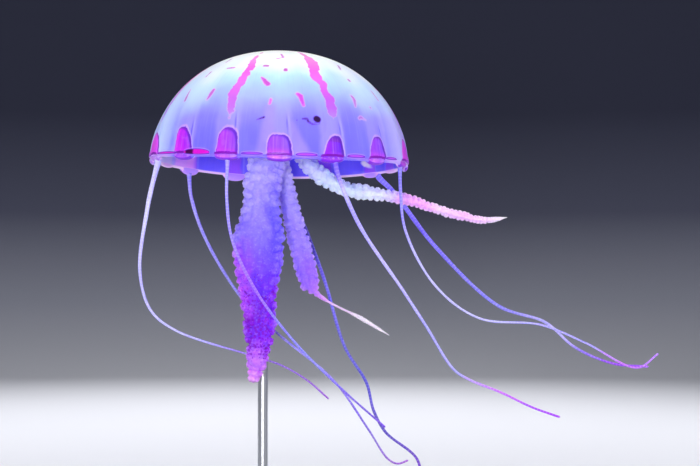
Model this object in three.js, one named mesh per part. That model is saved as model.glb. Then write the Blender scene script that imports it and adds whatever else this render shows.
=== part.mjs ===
// A young purple-striped jellyfish (Chrysaora colorata), life size, swimming, held up by a plain stand.
//
// Frame: millimetres, +Z up, origin at the centre of the stand's underside, bell axis on +Z.
// The front is -Y. The current carries the oral arms and the tentacles towards +X.
// Angles round the bell are counted in degrees from the front, towards +X.
import * as THREE from "three";
import { mergeVertices } from "three/addons/utils/BufferGeometryUtils.js";

// ---- driving dimensions --------------------------------------------------------------------

const GAP = 0.3; // between pieces that touch

// Bell: two domes, each a superellipse turned about the axis.
const BELL_FOLD_Z = 180; // height of the domes' equator
const OUTER = { radius: 65, height: 57 };
const INNER = { radius: 62, height: 49.5 };
const DOME_ROUNDNESS = 2.2; // power of the radius term
const DOME_CROWN = 1.9; // power of the height term
const CROWN_CUT_Z = 213; // crown above, wall below
const MARGIN_CUT_Z = 192; // wall above, margin below
const BELL_SECTORS = 48;

// Margin: sixteen stations, each a rounded lappet that hangs below the rim.
const STATIONS = 16;
const STATION_SHIFTS = { "-6": 3.5, "-3": -3.5, 2: 1, 3: 4, 6: -5.4 }; // degrees off even spacing, by number
const OCTANTS = 8;
const RIM_Z = 178.2; // mean height of the rim between lappets
const RIM_SADDLE = 2.5; // the rim's sides are this much higher than its front and back
const RIM_LEAN = 1.5; // and its -X side is this much higher than its middle
const LAPPET_HALF_ANGLE = 5.6; // degrees
const LAPPET_DROP = 2.2; // mean length below the rim
const LAPPET_DROP_SWING = 0.7; // longer by this at the back, shorter at the front
const MARGIN_THICKNESS = 2.6;
const FOLD_DEPTH = 1.3; // the margin turns in over this height
const LIP_FLARE = 0.6; // the fold stands out from the dome by this

// Manubrium: the four-cornered stalk that ends in the mouth.
const MANUBRIUM = { x: -1, y: 0, foot: 185.6, waist: 12, top: 19, footRadius: 16.5 };

// Stand.
const BASE = { radius: 72, thickness: 10, chamfer: 1.5 };
const ROD = { x: -8, y: 2.5, radius: 2.5 };

// ---- materials -----------------------------------------------------------------------------

const flesh = (color, roughness) => new THREE.MeshStandardMaterial({ color, roughness, metalness: 0 });
const CROWN_FLESH = flesh(0xeafaff, 0.35);
const WALL_FLESH = flesh(0x9c92ff, 0.35);
const MARGIN_FLESH = flesh(0xc86af0, 0.4);
const MOUTH_FLESH = flesh(0xb9b0f5, 0.5);
const ARM_FLESH = [flesh(0xb3a8fb, 0.55), flesh(0xa478f6, 0.55), flesh(0xd88af2, 0.55)];
const TENTACLE_FLESH = [flesh(0xe6e2ff, 0.4), flesh(0xbdb0ff, 0.4), flesh(0xc45be6, 0.4)];
const BASE_PAINT = new THREE.MeshStandardMaterial({ color: 0x24252b, roughness: 0.55, metalness: 0 });
const ROD_STEEL = new THREE.MeshStandardMaterial({ color: 0xc4c6ca, roughness: 0.3, metalness: 1 });

// ---- the four oral arms --------------------------------------------------------------------
// route: points down the middle of the arm, from the mouth to the tip.
// width: [share of the length, half width] across the arm; depth: half depth over half width.

const ARMS = [
  {
    name: "oral_arm_front",
    route: [[-5, -9, 185.3], [-8, -14, 171], [-9.5, -18, 146], [-10.5, -18, 125], [-9.5, -16, 97], [-12, -13, 71]],
    width: [[0, 9.2], [0.24, 9.6], [0.38, 12.8], [0.47, 12.2], [0.63, 9.3], [0.8, 7], [0.87, 5], [0.97, 3.6], [1, 2.2]],
    depth: 0.58,
  },
  {
    name: "oral_arm_right",
    route: [[11, -1, 185.3], [15, -1, 180.5], [22, 0, 174], [36.5, 2, 167.5], [50, 2, 165.5], [68, 3, 162], [80, 3, 158], [93.5, 4, 154.5], [105, 4, 152.5], [116, 4, 154]],
    width: [[0, 3.6], [0.2, 3.3], [0.34, 3.7], [0.55, 3.3], [0.63, 2.4], [0.88, 2.2], [0.95, 1.6], [1, 0.6]],
    depth: 1,
  },
  {
    name: "oral_arm_back",
    route: [[0, 9.5, 185.3], [5, 14, 162], [12, 15, 135], [17, 13, 118], [23, 12, 112.5], [42, 8, 102.5], [56, 6, 94]],
    width: [[0, 4.2], [0.2, 5], [0.45, 5.7], [0.56, 5.2], [0.66, 1.4], [0.9, 1.1], [1, 0.5]],
    depth: 0.9,
  },
  {
    name: "oral_arm_left",
    route: [[-9, 9.5, 185.3], [-11, 13, 168], [-13, 15, 148], [-12, 15, 127], [-10, 13, 106]],
    width: [[0, 4.6], [0.4, 7], [0.7, 5], [1, 1.4]],
    depth: 0.65,
  },
];
const ARM_LENGTHS = ["upper", "middle", "lower"];
const ARM_SIDES = 12;
const ARM_STEPS = 9; // rings in one length
const FRILLS = 4; // frilled edges round the arm, with a groove between neighbours
const GROOVE_DEPTH = 0.24; // of the half width
const SCALLOP_DEPTH = 0.06; // the frill's edge waves in and out along the arm

// ---- the eight tentacles -------------------------------------------------------------------
// at: angle of the root on the rim; route: points from below the root to the tip.
// root and tip: radii; taper: power of the shrinking from one to the other.

const TENTACLES = [
  {
    at: -69,
    route: [[-62.5, -24, 165.5], [-64.5, -24, 155], [-68, -21, 126], [-63, -17, 107], [-51, -14, 97], [-14, -8, 84.5], [1, -6, 79.5], [14, -5, 72], [25, -5, 62.5]],
    root: 1.3,
    tip: 0.45,
    taper: 2.6,
  },
  {
    at: -22.5,
    route: [[-24.5, -59, 159], [-22, -55, 140], [-10.5, -44, 115.5], [8.5, -28, 90.5], [31.5, -10, 67.5], [53.5, 0, 48]],
    root: 0.75,
    tip: 0.5,
    taper: 1,
  },
  {
    at: 24.5,
    route: [[28, -58.5, 169.5], [38, -55, 147], [58.5, -45, 117.5], [71, -39, 99], [84.5, -33, 78.5], [93, -29, 73], [108, -25, 67], [125, -20, 59], [139, -17, 54]],
    root: 1.1,
    tip: 0.55,
    taper: 2,
  },
  {
    at: 69.5,
    route: [[59.5, -25, 166], [62, -24, 146], [77, -20, 119], [99, -15, 103], [131, -10, 99.5], [153.5, -8, 90.5], [180, -6, 78], [191, -5, 85]],
    root: 0.8,
    tip: 0.5,
    taper: 3,
  },
  {
    at: 125,
    route: [[60, 36, 169], [81.5, 33, 140.5], [114, 25, 109], [137.5, 19, 100.5], [152.5, 15, 87.5], [171, 10, 79.5], [188.5, 7, 78]],
    root: 1.35,
    tip: 0.6,
    taper: 1.7,
  },
  {
    at: 177.5,
    route: [[11, 60, 158], [24, 48, 123], [34.5, 36, 87.5], [45.5, 29, 69], [49, 25, 55], [55, 21, 44], [70.5, 15, 31], [73, 13, 19]],
    root: 1.05,
    tip: 0.65,
    taper: 1.2,
  },
  {
    at: -163,
    route: [[-17, 60, 167], [-14, 56, 150], [-11, 47, 117], [-12, 38, 89], [-12, 34, 77]],
    root: 0.7,
    tip: 0.45,
    taper: 1,
  },
  {
    at: -131.5,
    route: [[-46.5, 43, 167], [-39.5, 41, 146], [-20.5, 32, 114.5], [-2, 20, 96], [28, 6, 71], [45, 2, 47], [55, 3, 32], [60, 4, 29.5], [65.5, 6, 31]],
    root: 0.95,
    tip: 0.5,
    taper: 1.5,
  },
];
const TENTACLE_LENGTHS = ["root", "middle", "tip"];
const TENTACLE_SIDES = 7;
const TENTACLE_STEPS = 7;
const PAD_FLARE = 0.4; // the root swells by this where it meets the margin
const PAD_REACH = 2.5; // and is back to its own size over about this length

// ---- shape helpers -------------------------------------------------------------------------

const radians = THREE.MathUtils.degToRad;
const smooth = THREE.MathUtils.smoothstep;

// Radius of a dome at a height, and height at a radius.
function domeRadius(dome, z) {
  const rise = THREE.MathUtils.clamp((z - BELL_FOLD_Z) / dome.height, 0, 1);
  return dome.radius * (1 - rise ** DOME_CROWN) ** (1 / DOME_ROUNDNESS);
}
function domeHeight(dome, radius) {
  const share = THREE.MathUtils.clamp(radius / dome.radius, 0, 1);
  return BELL_FOLD_Z + dome.height * (1 - share ** DOME_ROUNDNESS) ** (1 / DOME_CROWN);
}

// Height of the rim between lappets, and of the lower edge with the lappets.
function rimHeight(angle) {
  const side = Math.sin(radians(angle));
  return RIM_Z + RIM_SADDLE * side * side - RIM_LEAN * side;
}
function stationAngle(number) {
  const wrapped = number > STATIONS / 2 ? number - STATIONS : number;
  return (360 / STATIONS) * number + (STATION_SHIFTS[wrapped] ?? 0);
}
function lappetDrop(angle) {
  const offset = angle - stationAngle(Math.round((angle * STATIONS) / 360));
  const share = Math.min(1, Math.abs(offset) / LAPPET_HALF_ANGLE);
  const length = LAPPET_DROP - LAPPET_DROP_SWING * Math.cos(radians(angle));
  return length * Math.sqrt(1 - share * share);
}

// A value read from [[share, value], ...] with an eased step between neighbours.
function easedValue(knots, share) {
  for (let i = 1; i < knots.length; i++) {
    const [start, from] = knots[i - 1];
    const [end, to] = knots[i];
    if (share <= end) return from + (to - from) * smooth(share, start, end);
  }
  return knots[knots.length - 1][1];
}

// A closed prism whose every point is moved to place(angle round it, share along it, 0 or 1).
// The last value is 0 at the middle of an end cap and 1 on the skin.
function sweptSolid(sides, steps, place) {
  const prism = new THREE.CylinderGeometry(1, 1, 1, sides, steps);
  prism.deleteAttribute("normal");
  prism.deleteAttribute("uv");
  const solid = mergeVertices(prism);
  const points = solid.getAttribute("position");
  for (let i = 0; i < points.count; i++) {
    const across = Math.hypot(points.getX(i), points.getZ(i)) > 0.5 ? 1 : 0;
    const angle = Math.atan2(points.getX(i), points.getZ(i));
    const placed = place(angle, 0.5 - points.getY(i), across);
    points.setXYZ(i, placed.x, placed.y, placed.z);
  }
  solid.computeVertexNormals();
  return solid;
}

// A solid turned about the bell's axis from [radius, height] pairs.
function turnedSolid(profile, sectors) {
  const outline = profile.map(([radius, z]) => new THREE.Vector2(radius, z));
  return new THREE.LatheGeometry(outline, sectors).rotateX(Math.PI / 2);
}

function named(name, geometry, material) {
  const mesh = new THREE.Mesh(geometry, material);
  mesh.name = name;
  return mesh;
}

// Heights spaced so that the dome's facets are of like size.
function domeProfile(dome, lowZ, highZ, steps) {
  const low = Math.asin((lowZ - BELL_FOLD_Z) / dome.height);
  const high = Math.asin(Math.min(1, (highZ - BELL_FOLD_Z) / dome.height));
  return Array.from({ length: steps + 1 }, (_, i) => {
    const z = BELL_FOLD_Z + dome.height * Math.sin(low + ((high - low) * i) / steps);
    return [domeRadius(dome, z), z];
  });
}

// ---- bell ----------------------------------------------------------------------------------

function crown() {
  const outside = domeProfile(OUTER, CROWN_CUT_Z, BELL_FOLD_Z + OUTER.height, 6);
  const inside = domeProfile(INNER, CROWN_CUT_Z, BELL_FOLD_Z + INNER.height, 4).reverse();
  return turnedSolid([...inside, ...outside], BELL_SECTORS);
}

function wall() {
  const low = MARGIN_CUT_Z + GAP;
  const high = CROWN_CUT_Z - GAP;
  const outside = domeProfile(OUTER, low, high, 3);
  const inside = domeProfile(INNER, low, high, 2).reverse();
  return turnedSolid([...inside, ...outside, inside[0]], BELL_SECTORS);
}

// One eighth of the margin: a band whose section folds in at the rim and drops in two lappets.
const MARGIN_SECTION = 8;
const LAPPET_STEPS = [-1, -0.85, -0.45, 0, 0.45, 0.85, 1];

function marginPoint(angle, corner) {
  const rim = rimHeight(angle);
  const drop = lappetDrop(angle);
  const fold = rim + FOLD_DEPTH;
  const section = [
    [domeRadius(INNER, MARGIN_CUT_Z), MARGIN_CUT_Z],
    [domeRadius(INNER, fold), fold],
    [OUTER.radius - MARGIN_THICKNESS, rim - drop * 0.7],
    [OUTER.radius - 1.6, rim - drop - 0.1],
    [OUTER.radius - 0.4, rim - drop * 0.6],
    [OUTER.radius + LIP_FLARE, fold],
    [domeRadius(OUTER, (MARGIN_CUT_Z + fold) / 2), (MARGIN_CUT_Z + fold) / 2],
    [domeRadius(OUTER, MARGIN_CUT_Z), MARGIN_CUT_Z],
  ];
  const [radius, z] = section[corner];
  const turn = radians(angle);
  return new THREE.Vector3(radius * Math.sin(turn), -radius * Math.cos(turn), z);
}

function marginOctant(index) {
  const spacing = 360 / STATIONS;
  const start = (index * 360) / OCTANTS - spacing * 1.5;
  const halfGap = THREE.MathUtils.radToDeg(GAP / 2 / OUTER.radius);
  const stops = [start + halfGap];
  for (const number of [2 * index - 1, 2 * index]) {
    for (const share of LAPPET_STEPS) stops.push(stationAngle(number) + share * LAPPET_HALF_ANGLE);
  }
  stops.push(start + spacing * 2 - halfGap);
  return sweptSolid(MARGIN_SECTION, stops.length - 1, (round, along, skin) => {
    const angle = stops[Math.round(along * (stops.length - 1))];
    if (skin) {
      const corner = Math.round((round / (2 * Math.PI)) * MARGIN_SECTION + MARGIN_SECTION) % MARGIN_SECTION;
      return marginPoint(angle, corner);
    }
    const [a, b] = [marginPoint(angle, 1), marginPoint(angle, 6)];
    return a.lerp(b, 0.5);
  });
}

// ---- manubrium -----------------------------------------------------------------------------

// Four soft corners face the four arms. The top fits under the inner dome.
function manubrium() {
  const sides = 20;
  const steps = 7;
  return sweptSolid(sides, steps, (round, along, skin) => {
    const lift = 1 - along;
    const spread =
      MANUBRIUM.waist +
      (MANUBRIUM.footRadius - MANUBRIUM.waist) * smooth(along, 0.6, 1) +
      (MANUBRIUM.top - MANUBRIUM.waist) * smooth(lift, 0.55, 1);
    const radius = skin * spread * (1 + 0.09 * Math.cos(4 * round));
    const x = MANUBRIUM.x + radius * Math.sin(round);
    const y = MANUBRIUM.y - radius * Math.cos(round);
    const ceiling = domeHeight(INNER, Math.hypot(x, y) / Math.cos(Math.PI / BELL_SECTORS) + 0.3) - 0.8;
    const z = MANUBRIUM.foot + (ceiling - MANUBRIUM.foot) * lift;
    return new THREE.Vector3(x, y, z);
  });
}

// ---- arms and tentacles --------------------------------------------------------------------

const DOWN = new THREE.Vector3(0, 0, -1);
const BACK = new THREE.Vector3(0, 1, 0);

function curveThrough(points) {
  return new THREE.CatmullRomCurve3(points.map((point) => new THREE.Vector3(...point)), false, "centripetal");
}

// Middle, width axis and depth axis of a section. The first section lies level.
function sectionAt(curve, share) {
  const along = share <= 0 ? DOWN.clone() : curve.getTangentAt(share);
  const deep = BACK.clone().addScaledVector(along, -BACK.dot(along)).normalize();
  const wide = new THREE.Vector3().crossVectors(deep, along);
  return { middle: curve.getPointAt(share), wide, deep };
}

// One length of a limb: sizeAt(share, round) gives [half width, half depth] of the section.
function limbLength(curve, from, to, sides, steps, sizeAt) {
  return sweptSolid(sides, steps, (round, along, skin) => {
    const share = from + (to - from) * along;
    const { middle, wide, deep } = sectionAt(curve, share);
    const [width, depth] = sizeAt(share, round);
    return middle
      .addScaledVector(wide, skin * width * Math.sin(round))
      .addScaledVector(deep, skin * depth * Math.cos(round));
  });
}

// The limb's three lengths, as [name, geometry] pairs with a thin gap between neighbours.
function limbLengths(name, curve, lengthNames, sides, steps, sizeAt) {
  const count = lengthNames.length;
  const slip = GAP / curve.getLength();
  return lengthNames.map((lengthName, i) => {
    const from = i / count + (i > 0 ? slip / 2 : 0);
    const to = (i + 1) / count - (i < count - 1 ? slip / 2 : 0);
    return [`${name}_${lengthName}`, limbLength(curve, from, to, sides, steps, sizeAt)];
  });
}

function armLengths(arm) {
  const curve = curveThrough(arm.route);
  const rings = ARM_STEPS * ARM_LENGTHS.length;
  const frilled = (share, round) => {
    const half = easedValue(arm.width, share);
    const groove = 1 - (GROOVE_DEPTH / 2) * (1 - Math.cos(FRILLS * round));
    const scallop = 1 + SCALLOP_DEPTH * Math.cos(Math.PI * share * rings);
    const reach = share <= 0 ? half : half * groove * scallop;
    return [reach, reach * arm.depth];
  };
  return limbLengths(arm.name, curve, ARM_LENGTHS, ARM_SIDES, ARM_STEPS, frilled);
}

function rootPoint(angle) {
  const turn = radians(angle);
  const radius = OUTER.radius - 1.6;
  const beside = [angle - 2, angle, angle + 2];
  const lowest = Math.min(...beside.map((near) => rimHeight(near) - lappetDrop(near)));
  const z = lowest - 0.1 - GAP;
  return [radius * Math.sin(turn), -radius * Math.cos(turn), z];
}

function tentacleLengths(tentacle, index) {
  const curve = curveThrough([rootPoint(tentacle.at), ...tentacle.route]);
  const length = curve.getLength();
  const tapered = (share) => {
    const thread = tentacle.tip + (tentacle.root - tentacle.tip) * (1 - share) ** tentacle.taper;
    const radius = thread + PAD_FLARE * Math.exp((-share * length) / PAD_REACH);
    return [radius, radius];
  };
  const name = `tentacle_${index + 1}`;
  return limbLengths(name, curve, TENTACLE_LENGTHS, TENTACLE_SIDES, TENTACLE_STEPS, tapered);
}

// ---- stand ---------------------------------------------------------------------------------

function standBase() {
  const { radius, thickness, chamfer } = BASE;
  const profile = [[0, 0], [radius, 0], [radius, thickness - chamfer], [radius - chamfer, thickness], [0, thickness]];
  return turnedSolid(profile, BELL_SECTORS);
}

function standRod() {
  const low = BASE.thickness + GAP;
  const high = MANUBRIUM.foot - GAP;
  return new THREE.CylinderGeometry(ROD.radius, ROD.radius, high - low, 24)
    .rotateX(Math.PI / 2)
    .translate(ROD.x, ROD.y, (low + high) / 2);
}

// ---- the whole animal on its stand ---------------------------------------------------------

const bell = new THREE.Group();
bell.add(named("bell_crown", crown(), CROWN_FLESH));
bell.add(named("bell_wall", wall(), WALL_FLESH));
for (let i = 0; i < OCTANTS; i++) {
  bell.add(named(`bell_margin_${i + 1}`, marginOctant(i), MARGIN_FLESH));
}

const mouth = new THREE.Group();
mouth.add(named("manubrium", manubrium(), MOUTH_FLESH));
for (const arm of ARMS) {
  armLengths(arm).forEach(([name, geometry], i) => mouth.add(named(name, geometry, ARM_FLESH[i])));
}

const tentacles = new THREE.Group();
TENTACLES.forEach((tentacle, index) => {
  tentacleLengths(tentacle, index).forEach(([name, geometry], i) => {
    tentacles.add(named(name, geometry, TENTACLE_FLESH[i]));
  });
});

const stand = new THREE.Group();
stand.add(named("stand_base", standBase(), BASE_PAINT));
stand.add(named("stand_rod", standRod(), ROD_STEEL));

const jellyfish = new THREE.Group();
jellyfish.add(bell, mouth, tentacles, stand);

export default jellyfish;
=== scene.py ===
import math

import bpy
import numpy as np
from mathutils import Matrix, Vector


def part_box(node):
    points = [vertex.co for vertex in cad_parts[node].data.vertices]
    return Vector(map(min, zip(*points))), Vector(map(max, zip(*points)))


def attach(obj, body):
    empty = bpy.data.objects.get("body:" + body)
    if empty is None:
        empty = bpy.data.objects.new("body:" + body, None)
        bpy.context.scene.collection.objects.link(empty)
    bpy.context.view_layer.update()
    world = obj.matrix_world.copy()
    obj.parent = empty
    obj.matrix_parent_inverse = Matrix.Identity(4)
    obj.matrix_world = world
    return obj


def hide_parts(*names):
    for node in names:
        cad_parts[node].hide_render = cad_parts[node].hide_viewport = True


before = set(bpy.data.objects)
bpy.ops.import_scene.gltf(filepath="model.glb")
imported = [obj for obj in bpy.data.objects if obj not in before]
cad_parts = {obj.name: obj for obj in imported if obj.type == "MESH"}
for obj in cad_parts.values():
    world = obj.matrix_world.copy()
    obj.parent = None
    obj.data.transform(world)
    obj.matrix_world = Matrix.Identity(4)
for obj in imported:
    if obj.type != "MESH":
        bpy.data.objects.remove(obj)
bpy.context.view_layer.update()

MM = 0.001

# ---- driving dimensions, as in the part's source ----

BELL_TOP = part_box("bell_crown")[1].z / MM
OUTER_RADIUS, OUTER_HEIGHT = 65.0, 57.0
INNER_RADIUS, INNER_HEIGHT = 62.0, 49.5
FOLD_Z = BELL_TOP - OUTER_HEIGHT  # the domes' equator
ROUNDNESS, CROWN = 2.2, 1.9  # powers of the radius and height terms of the domes
MARGIN_TOP_Z = 192.0

STATIONS = 16
SPACING = 360 / STATIONS
STATION_SHIFTS = {-6: 3.5, -3: -3.5, 2: 1, 3: 4, 6: -5.4}  # degrees off even spacing, by number
RIM_Z, RIM_SADDLE, RIM_LEAN = 178.2, 2.5, 1.5
LAPPET_HALF_ANGLE, LAPPET_DROP, LAPPET_DROP_SWING = 5.6, 2.2, 0.7
LAPPETS_DRAWN_UP = {-5: 0.35, 5: 0.3, 6: 0.6}  # share of the drop left on lappets that curl up, by number
FOLD_DEPTH = 1.3
LIP_FLARE = 0.6

MOUTH_X, MOUTH_Y, MOUTH_FOOT_Z = -1.0, 0.0, 185.6
MOUTH_WAIST, MOUTH_TOP, MOUTH_FOOT = 12.0, 19.0, 16.5

# Each arm: route down its middle, (share, half width) across it, and half depth over half width.
ARMS = {
    "oral_arm_front": dict(
        route=[
            (-5, -9, 185.3), (-8, -14, 171), (-9.5, -18, 146), (-10.5, -18, 125), (-9.5, -16, 97),
            (-10.4, -14.4, 84), (-12.7, -13, 71),
        ],
        width=[
            (0, 9.2), (0.24, 9.6), (0.38, 12.8), (0.47, 12.2), (0.63, 9.3), (0.72, 8.3), (0.8, 7.6), (0.87, 5.6),
            (0.97, 3.7), (1, 2.4),
        ],
        depth=0.58,
    ),
    "oral_arm_right": dict(
        route=[
            (11, -1, 185.3), (15, -1, 180.5), (22, 0, 174), (36.5, 2, 167.5), (50, 2, 165.5), (68, 3, 162),
            (80, 3, 158), (93.5, 4, 154.5), (105, 4, 152.5), (116, 4, 154),
        ],
        width=[
            (0, 4.3), (0.13, 4.6), (0.22, 3.9), (0.34, 3.9), (0.44, 3.2), (0.55, 3.1), (0.64, 2.5), (0.76, 2.5),
            (0.86, 2.1), (0.94, 1.4), (1, 0.25),
        ],
        depth=1.0,
    ),
    "oral_arm_back": dict(
        route=[
            (0, 9.5, 185.3), (5, 14, 162), (12, 15, 135), (17, 13, 118), (23, 12, 112.5), (42, 8, 102.5),
            (56, 6, 94),
        ],
        width=[
            (0, 4.2), (0.2, 5), (0.45, 5.7), (0.56, 5.4), (0.65, 1.2), (0.7, 0.6), (0.78, 0.55), (0.86, 1.15),
            (0.93, 0.8), (1, 0.25),
        ],
        depth=0.9,
    ),
    "oral_arm_left": dict(
        route=[(-9, 9.5, 185.3), (-11, 13, 168), (-13, 15, 148), (-12, 15, 127), (-10, 13, 106)],
        width=[(0, 4.6), (0.4, 7), (0.7, 5), (1, 1.4)],
        depth=0.65,
    ),
}
LIMB_LENGTHS = ("upper", "middle", "lower")

# Each tentacle: angle of its root on the rim, radius at root and tip, the power it shrinks by, and its route
# from below the root to the tip.
TENTACLES = [
    (-69, 1.3, 0.45, 2.6, [
        (-62.5, -24, 165.5), (-64.5, -24, 155), (-68, -21, 126), (-63, -17, 107), (-51, -14, 97), (-14, -8, 84.5),
        (1, -6, 79.5), (14, -5, 72), (25, -5, 62.5),
    ]),
    (-22.5, 0.75, 0.5, 1, [
        (-24.5, -59, 159), (-22, -55, 140), (-10.5, -44, 115.5), (8.5, -28, 90.5), (31.5, -10, 67.5), (53.5, 0, 48),
    ]),
    (24.5, 1.1, 0.55, 2, [
        (28, -58.5, 169.5), (38, -55, 147), (58.5, -45, 117.5), (71, -39, 99), (84.5, -33, 78.5), (93, -29, 73),
        (108, -25, 67), (125, -20, 59), (139, -17, 54),
    ]),
    (69.5, 0.8, 0.5, 3, [
        (59.5, -25, 166), (62, -24, 146), (77, -20, 119), (99, -15, 103), (131, -10, 99.5), (153.5, -8, 90.5),
        (180, -6, 78), (191, -5, 85),
    ]),
    (125, 1.35, 0.6, 1.7, [
        (60, 36, 169), (81.5, 33, 140.5), (114, 25, 109), (137.5, 19, 100.5), (152.5, 15, 87.5), (171, 10, 79.5),
        (188.5, 7, 78),
    ]),
    (177.5, 1.05, 0.65, 1.2, [
        (11, 60, 158), (24, 48, 123), (34.5, 36, 87.5), (45.5, 29, 69), (49, 25, 55), (55, 21, 44), (70.5, 15, 31),
        (73, 13, 19),
    ]),
    (-163, 0.7, 0.45, 1, [(-17, 60, 167), (-14, 56, 150), (-11, 47, 117), (-12, 38, 89), (-12, 34, 77)]),
    (-131.5, 0.95, 0.5, 1.5, [
        (-46.5, 43, 167), (-39.5, 41, 146), (-20.5, 32, 114.5), (-2, 20, 96), (28, 6, 71), (45, 2, 47), (55, 3, 32),
        (60, 4, 29.5), (65.5, 6, 31),
    ]),
]
TENTACLE_NODES = ("root", "middle", "tip")
ROOT_SUNK = 1.6  # from the bell's outer radius in to the middle of a tentacle's root
PAD_FLARE, PAD_REACH = 0.4, 2.5  # swelling at a tentacle's root, and how far down it goes
RING_PITCH = 1.7  # between a tentacle's rings of stinging cells

# ---- camera ----

# Low in front of the bell, so that the far side's inner wall shows under the near rim.
camera_data = bpy.data.cameras.new("camera")
camera_data.sensor_width = 36
camera_data.lens = 87.84
camera_data.clip_end = 20
camera = bpy.data.objects.new("camera", camera_data)
camera.location = (0, -0.86, 0.11)
camera.rotation_euler = (math.radians(90 + 2.377), 0, math.radians(-2.38))
bpy.context.scene.collection.objects.link(camera)
bpy.context.scene.camera = camera

# ---- small tools ----


def linear(code):
    """sRGB hex to linear RGBA: c / 12.92 up to 0.04045, and ((c + 0.055) / 1.055) ** 2.4 above it."""
    shown = [int(code[i : i + 2], 16) / 255 for i in (1, 3, 5)]
    return [c / 12.92 if c <= 0.04045 else ((c + 0.055) / 1.055) ** 2.4 for c in shown] + [1.0]


def eased(values, low, high):
    """0 below low, 1 above high, and 3x^2 - 2x^3 between. low may be above high."""
    x = np.clip((values - low) / (high - low), 0, 1)
    return x * x * (3 - 2 * x)


def read_knots(knots, share):
    """A value from (share, value) knots, with an eased step between neighbours."""
    at, value = np.array(knots, float).T
    i = np.clip(np.searchsorted(at, share, side="right") - 1, 0, len(at) - 2)
    return value[i] + (value[i + 1] - value[i]) * eased((share - at[i]) / (at[i + 1] - at[i]), 0, 1)


def waves(rng, reach, lengths):
    """A function of position: the sum of one sine per length, each with its own phase, scaled to about +-reach."""
    phases = rng.uniform(0, 2 * np.pi, len(lengths))
    return lambda s: reach * sum(np.sin(2 * np.pi * s / l + p) for l, p in zip(lengths, phases)) / len(lengths) ** 0.5


def turns_round(columns):
    """Angles of evenly spaced columns once round, in radians, as one row."""
    return (np.arange(columns) / columns * 2 * np.pi)[None]


# ---- surfaces ----
# A shape is a dict: points (n, 3) in mm, faces as index arrays, uvs per face corner, and fields per point.


def grid_shape(points, fields, poles=(None, None)):
    """A grid of rows x columns x 3 made into faces, each row closed on itself. A pole closes the first or last
    row with a fan. A field may be one value per row or column."""
    rows, columns = points.shape[:2]
    index = np.arange(rows * columns).reshape(rows, columns)
    i, j = np.meshgrid(np.arange(rows - 1), np.arange(columns), indexing="ij")
    k = (j + 1) % columns
    faces = [np.stack([index[i, j], index[i, k], index[i + 1, k], index[i + 1, j]], -1).reshape(-1, 4)]
    u, v = np.stack([j, j + 1, j + 1, j], -1) / columns, np.stack([i, i, i + 1, i + 1], -1) / (rows - 1)
    uvs = [np.stack([u, v], -1).reshape(-1, 4, 2)]
    co = points.reshape(-1, 3)
    values = {name: (field + np.zeros((rows, columns))).ravel() for name, field in fields.items()}
    share = np.arange(columns) / columns
    for last, pole in enumerate(poles):
        if pole is None:
            continue
        row, tip, way = index[-last], np.full(columns, len(co)), -1 if last else 1
        inner = abs(last - 0.5 / rows)
        across = np.stack([share + 0.5 / columns, share + 1 / columns, share][::way], -1)
        down = np.array([last, inner, inner][::way]) + np.zeros((columns, 1))
        faces.append(np.stack([tip, np.roll(row, -1), row][::way], -1))
        uvs.append(np.stack([across, down], -1))
        co = np.vstack([co, pole])
        values = {name: np.append(field, field[row].mean()) for name, field in values.items()}
    return dict(points=co, faces=faces, uvs=uvs, fields=values)


def outward(shape):
    """The shape with its faces turned round if its signed volume, the sum of a.(b x c)/6, is negative."""
    volume = 0
    for face in shape["faces"]:
        p = shape["points"][face]
        for n in range(1, face.shape[1] - 1):
            volume += np.einsum("ij,ij->", p[:, 0], np.cross(p[:, n], p[:, n + 1])) / 6
    if volume < 0:
        shape["faces"] = [face[:, ::-1] for face in shape["faces"]]
        shape["uvs"] = [uv[:, ::-1] for uv in shape["uvs"]]
    return shape


def meshed(name, shape, material):
    """Writes a shape as a smooth mesh in metres at the origin."""
    mesh = bpy.data.meshes.new(name)
    loops = np.concatenate([face.ravel() for face in shape["faces"]])
    sizes = np.concatenate([np.full(len(face), face.shape[1]) for face in shape["faces"]])
    mesh.vertices.add(len(shape["points"]))
    mesh.vertices.foreach_set("co", (shape["points"] * MM).astype(np.float32).ravel())
    mesh.loops.add(len(loops))
    mesh.loops.foreach_set("vertex_index", loops.astype(np.int32))
    mesh.polygons.add(len(sizes))
    mesh.polygons.foreach_set("loop_start", (np.cumsum(sizes) - sizes).astype(np.int32))
    mesh.update(calc_edges=True)
    layer = mesh.uv_layers.new(name="OFBake")
    uv = np.concatenate([uv.reshape(-1, 2) for uv in shape["uvs"]])
    layer.uv.foreach_set("vector", uv.astype(np.float32).ravel())
    for field, values in shape["fields"].items():
        mesh.attributes.new(field, "FLOAT", "POINT").data.foreach_set("value", values.astype(np.float32))
    mesh.polygons.foreach_set("use_smooth", np.ones(len(sizes), bool))
    mesh.materials.append(material)
    made = bpy.data.objects.new(name, mesh)
    bpy.context.scene.collection.objects.link(made)
    return made


def piece(name, shape, material, nodes):
    """A shape as a piece of the model, riding on the root body in place of CAD nodes."""
    made = meshed(name, shape, material)
    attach(made, "root")
    if nodes:
        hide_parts(*nodes)


# ---- material tools ----

SLOPES = {"EASE": "SMOOTHSTEP", "SHARE": "LINEAR"}


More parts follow.
